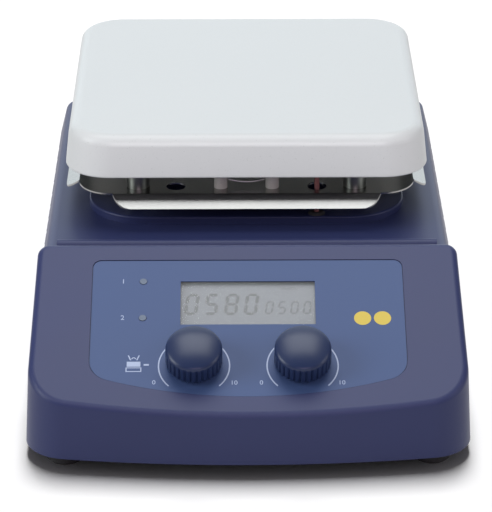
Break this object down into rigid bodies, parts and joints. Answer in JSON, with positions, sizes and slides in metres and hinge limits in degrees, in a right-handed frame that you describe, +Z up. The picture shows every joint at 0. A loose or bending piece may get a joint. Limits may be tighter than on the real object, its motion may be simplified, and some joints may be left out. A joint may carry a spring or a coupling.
{
  "type": "hotplate magnetic stirrer",
  "caption": "Laboratory hotplate stirrer: square enamelled plate over a sheet-steel heat shield on a low vented body with a sloping control panel, display and push-and-turn knobs.",
  "frame": {"origin": "on the bench, under the middle of the object's outline", "axes": "+Z up; -Y towards the user, where the control panel faces; +X to the user's right"},
  "size_m": [0.216, 0.36, 0.11],
  "materials": {
    "housing": "satin dark blue moulding",
    "panel": "printed matt overlay",
    "enamel": "white glass-ceramic enamel",
    "tray": "bright rolled sheet",
    "steel": "zinc-plated",
    "aluminium": "turned",
    "knob": "satin",
    "rubber": "matt",
    "ceramic": "unglazed cream",
    "window": "clear",
    "display": "grey liquid-crystal cell",
    "lens": "clear lens",
    "board": "circuit board",
    "black_plastic": "moulded",
    "copper_red": "sleeved lead",
    "insulation": "pressed fibre",
    "magnet": "nickel-plated",
    "brass": "plated",
    "capacitor": "sleeved",
    "winding": "taped"
  },
  "bodies": {
    "case": {"backlight": "display", "base_plate": "steel", "board_spacers": "brass", "capacitors": "capacitor", "case_screws": "steel", "ceramic_terminals": "ceramic", "clamp_plate": "steel", "control_overlay": "panel", "display_board": "board", "display_glass": "display", "display_screws": "steel", "display_window": "window", "foot_front_left": "rubber", "foot_front_right": "rubber", "foot_rear_left": "rubber", "foot_rear_right": "rubber", "front_housing": "housing", "heat_shield_tray": "tray", "heat_sink": "aluminium", "heater_link_wire": "steel", "heating_element": "steel", "inlet_housing": "black_plastic", "inlet_pins": "brass", "insulation_pad": "insulation", "lamp_lenses": "lens", "left_encoder": "black_plastic", "main_board": "board", "motor_bearings": "steel", "motor_bracket": "steel", "motor_case": "steel", "motor_end_plate": "steel", "plate_standoffs": "aluminium", "probe_socket": "brass", "rear_housing": "housing", "right_encoder": "black_plastic", "rod_bush": "steel", "sensor_grommet": "rubber", "sensor_lead": "copper_red", "stator_core": "steel", "switch_body": "black_plastic", "temperature_sensor": "steel", "top_plate": "enamel", "transformer": "winding", "tray_screws": "steel", "tray_spacers": "aluminium", "triac": "black_plastic"},
    "left_press_body": {"left_plunger": "steel"},
    "left_dial": {"left_knob": "knob", "left_shaft": "aluminium"},
    "right_press_body": {"right_plunger": "steel"},
    "right_dial": {"right_knob": "knob", "right_shaft": "aluminium"},
    "rocker": {"power_rocker": "black_plastic"},
    "drawer": {"fuse_drawer": "black_plastic", "fuses": "window"},
    "rotor": {"rotor_core": "steel", "motor_shaft": "steel", "magnet_carrier": "black_plastic", "drive_magnets": "magnet"}
  },
  "joints": [
    {"name": "left_press", "type": "slide", "parent": "case", "child": "left_press_body", "axis": [0, 0.4384, -0.8988], "range_m": [0, 0.001], "stiffness_N_per_m": 1000, "springref_m": -0.0005},
    {"name": "left_turn", "type": "hinge", "parent": "left_press_body", "child": "left_dial", "pos_m": [-0.0261, -0.15067, 0.04713], "axis": [0, -0.4384, 0.8988], "continuous": true},
    {"name": "right_press", "type": "slide", "parent": "case", "child": "right_press_body", "axis": [0, 0.4384, -0.8988], "range_m": [0, 0.001], "stiffness_N_per_m": 1000, "springref_m": -0.0005},
    {"name": "right_turn", "type": "hinge", "parent": "right_press_body", "child": "right_dial", "pos_m": [0.0261, -0.15067, 0.04713], "axis": [0, -0.4384, 0.8988], "continuous": true},
    {"name": "power_switch", "type": "hinge", "parent": "case", "child": "rocker", "pos_m": [0.008, 0.1735, 0.0231], "axis": [-1, 0, 0], "range_deg": [0, 22]},
    {"name": "drawer_slide", "type": "slide", "parent": "case", "child": "drawer", "axis": [0, 1, 0], "range_m": [0, 0.02]},
    {"name": "stir_rotor", "type": "hinge", "parent": "case", "child": "rotor", "pos_m": [0, 0.0755, 0.037], "axis": [0, 0, 1], "continuous": true}
  ]
}
